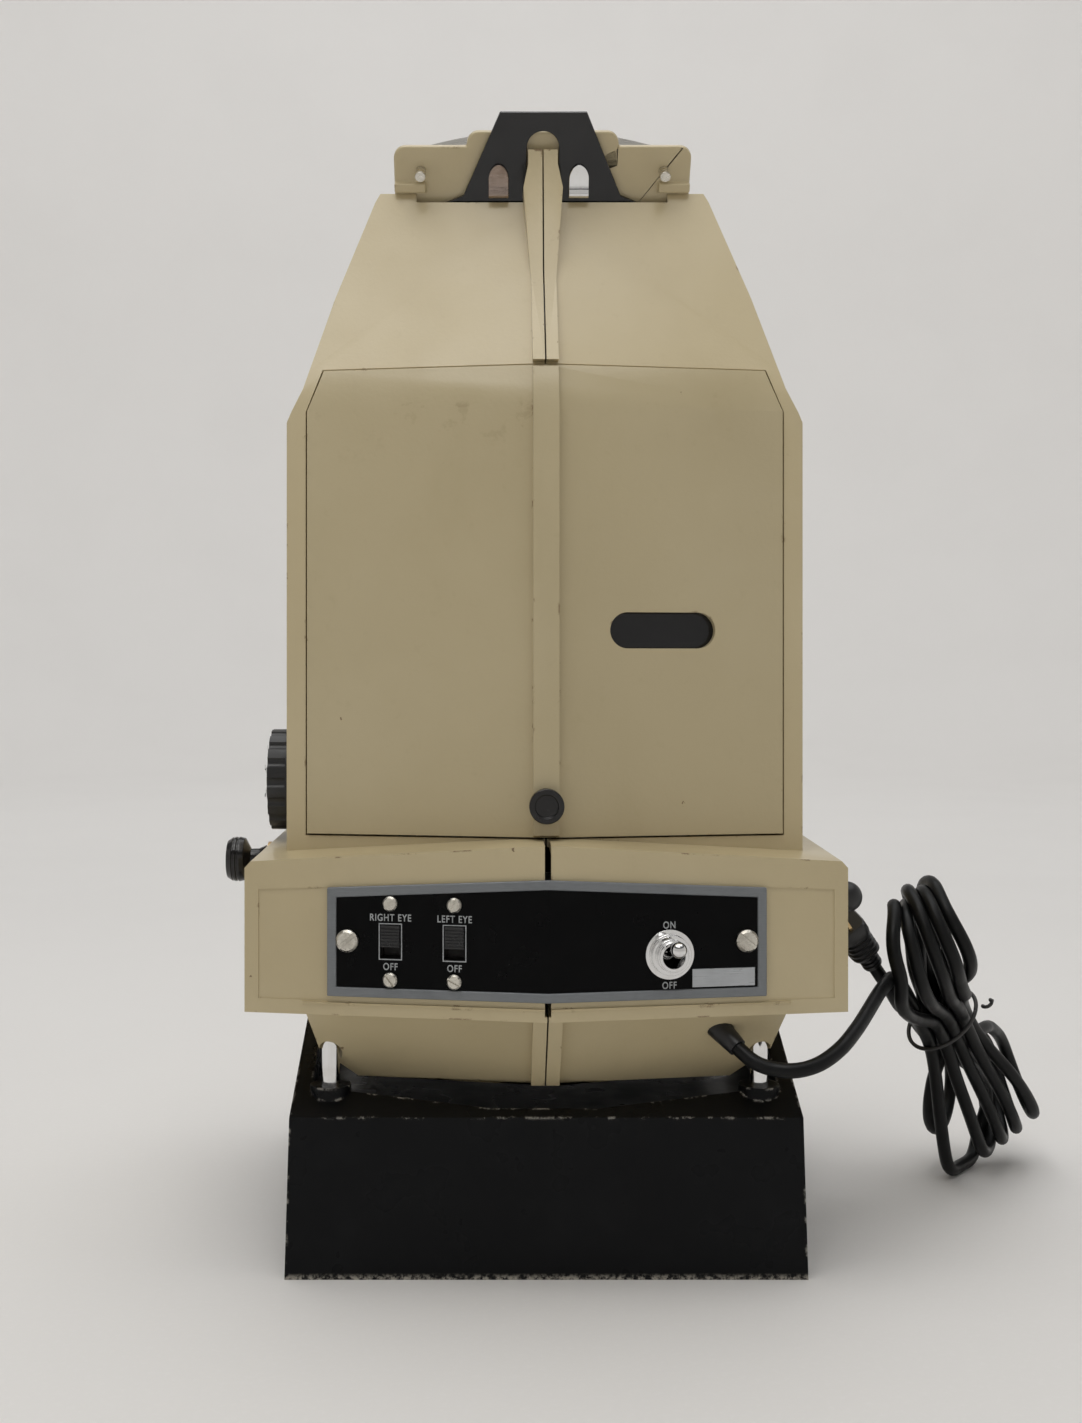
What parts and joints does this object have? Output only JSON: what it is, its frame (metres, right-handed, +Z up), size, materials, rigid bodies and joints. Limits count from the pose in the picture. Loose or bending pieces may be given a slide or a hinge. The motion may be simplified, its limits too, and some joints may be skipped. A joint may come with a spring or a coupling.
{
  "type": "stereoscopic vision screener",
  "caption": "Tabletop vision screener: two-part cast housing that rises on four columns in a heavy foot, hinged door, slide drum with dial, twin eyepieces, switches and a coiled cord.",
  "frame": {"origin": "centre of the foot's underside, on the table", "axes": "+Z up, -Y towards the operator's side with the door and panel, +Y towards the patient, +X to the operator's right"},
  "size_m": [0.3688, 0.2273, 0.4595],
  "materials": {
    "cast_beige": "semi-gloss enamel, fine orange peel",
    "black_enamel": "deep gloss black enamel",
    "dark_plate": "satin black",
    "worn_pad": "worn felt",
    "chrome_rod": "polished",
    "steel_screw": "plated, slotted",
    "bronze": "oiled sintered bronze",
    "zinc_plate": "zinc-plated sheet",
    "grey_rim": "satin grey etched metal",
    "panel_black": "satin black etched plate",
    "phenolic": "moulded phenolic",
    "slider_black": "moulded black nylon",
    "bright_chrome": "polished",
    "blank_label": "satin",
    "terminal_cream": "unglazed",
    "band_metal": "brushed",
    "eyepiece_black": "satin black",
    "lens_glass": "polished",
    "near_black": "gloss black sheet",
    "dull_nickel": "worn nickel, brownish",
    "mirror_glass": "front silvered",
    "dark_card": "matt black board",
    "slide_film": "translucent slide",
    "dial_black": "moulded",
    "lamp_glass": "frosted",
    "knob_black": "moulded black plastic",
    "black_rubber": "smooth",
    "cord_rubber": "smooth, slight sheen"
  },
  "bodies": {
    "foot": {"foot_casting": "black_enamel", "foot_bottom_plate": "dark_plate", "foot_pad": "worn_pad", "foot_screws": "steel_screw", "column_front_left": "chrome_rod", "column_front_right": "chrome_rod", "column_back_left": "chrome_rod", "column_back_right": "chrome_rod", "cord": "cord_rubber", "cord_hank": "cord_rubber", "cord_tail": "cord_rubber", "plug": "black_rubber"},
    "housing": {"housing_left": "cast_beige", "housing_right": "cast_beige", "housing_screws": "steel_screw", "column_bushes": "bronze", "chin_cover": "zinc_plate", "chassis_plate": "zinc_plate", "panel_frame": "grey_rim", "panel_face": "panel_black", "panel_screws": "steel_screw", "switch_screws": "steel_screw", "serial_plate": "blank_label", "right_eye_switch": "phenolic", "left_eye_switch": "phenolic", "toggle_switch": "phenolic", "toggle_bushing": "bright_chrome", "terminal_block": "terminal_cream", "face_plate": "cast_beige", "accessory_studs": "steel_screw", "forehead_band": "band_metal", "eyepiece_left": "eyepiece_black", "eyepiece_right": "eyepiece_black", "eye_lens_left": "lens_glass", "eye_lens_right": "lens_glass", "plate_spring_left": "dull_nickel", "plate_spring_right": "bright_chrome", "mirror": "mirror_glass", "mirror_bracket": "zinc_plate", "septum": "dark_card", "hinge_pins": "steel_screw", "drum_bearing": "bronze", "lamp_holder": "zinc_plate", "lamps": "lamp_glass", "lock_bush": "bronze", "cord_stop": "black_rubber", "cord_gland": "black_rubber"},
    "door": {"door": "cast_beige", "door_arms": "zinc_plate", "door_knob": "knob_black"},
    "drum": {"slide_drum": "dark_plate", "test_slides": "slide_film", "drum_shaft": "chrome_rod", "drum_dial": "dial_black"},
    "near_plate": {"near_lens_plate": "near_black", "near_lenses": "lens_glass"},
    "right_slider": {"right_eye_slider": "slider_black"},
    "left_slider": {"left_eye_slider": "slider_black"},
    "toggle": {"toggle_lever": "bright_chrome"},
    "lock": {"lock_knob": "knob_black"}
  },
  "joints": [
    {"name": "height_slide", "type": "slide", "parent": "foot", "child": "housing", "axis": [0, 0, 1], "range_m": [0, 0.038]},
    {"name": "door_hinge", "type": "hinge", "parent": "housing", "child": "door", "pos_m": [0, -0.05, 0.38], "axis": [-1, 0, 0], "range_deg": [0, 80]},
    {"name": "drum_turn", "type": "hinge", "parent": "housing", "child": "drum", "pos_m": [0, -0.042, 0.187], "axis": [1, 0, 0], "continuous": true},
    {"name": "near_plate_slide", "type": "slide", "parent": "housing", "child": "near_plate", "axis": [0, -0.5736, 0.8192], "range_m": [0, 0.03]},
    {"name": "right_eye_switch_slide", "type": "slide", "parent": "housing", "child": "right_slider", "axis": [0, 0, -1], "range_m": [0, 0.0038]},
    {"name": "left_eye_switch_slide", "type": "slide", "parent": "housing", "child": "left_slider", "axis": [0, 0, -1], "range_m": [0, 0.0038]},
    {"name": "toggle_flip", "type": "hinge", "parent": "housing", "child": "toggle", "pos_m": [0.04487, -0.10745, 0.1264], "axis": [0.9863, 0.165, 0], "range_deg": [0, 24]},
    {"name": "lock_pull", "type": "slide", "parent": "housing", "child": "lock", "axis": [-1, 0, 0], "range_m": [0, 0.006], "stiffness_N_per_m": 600}
  ]
}
